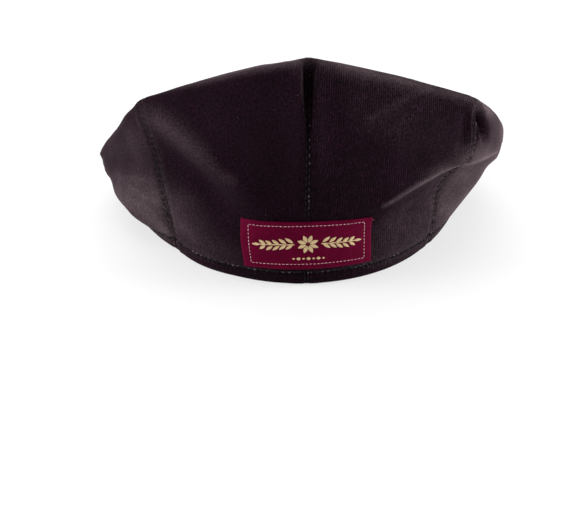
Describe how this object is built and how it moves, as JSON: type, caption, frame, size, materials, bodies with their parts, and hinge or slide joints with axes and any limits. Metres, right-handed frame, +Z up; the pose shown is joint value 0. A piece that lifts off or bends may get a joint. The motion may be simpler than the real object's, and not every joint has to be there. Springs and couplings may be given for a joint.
{
  "type": "newsboy cap",
  "caption": "Soft panelled newsboy cap of dark fine corduroy, tall at the back, with a short front peak, a covered top button and a plain woven label at the back.",
  "frame": {"origin": "middle of the whole cap's box, at the level of the rim's lower edge, where the cap stands", "axes": "+Z up, +Y toward the back seam and the label, -Y toward the peak, -X toward the wearer's right"},
  "size_m": [0.225, 0.2672, 0.121],
  "materials": {
    "corduroy": "fine ribbed cotton corduroy, very dark plum brown",
    "label_weave": "woven maroon damask",
    "thread": "near-black sewing thread",
    "label_thread": "gold and pale pink label yarn"
  },
  "bodies": {
    "root": {"panel_back_right": "corduroy", "panel_side_back_right": "corduroy", "panel_side_front_right": "corduroy", "panel_front_right": "corduroy", "panel_front_left": "corduroy", "panel_side_front_left": "corduroy", "panel_side_back_left": "corduroy", "panel_back_left": "corduroy", "peak": "corduroy", "back_label": "label_weave", "top_button": "corduroy"}
  },
  "joints": []
}
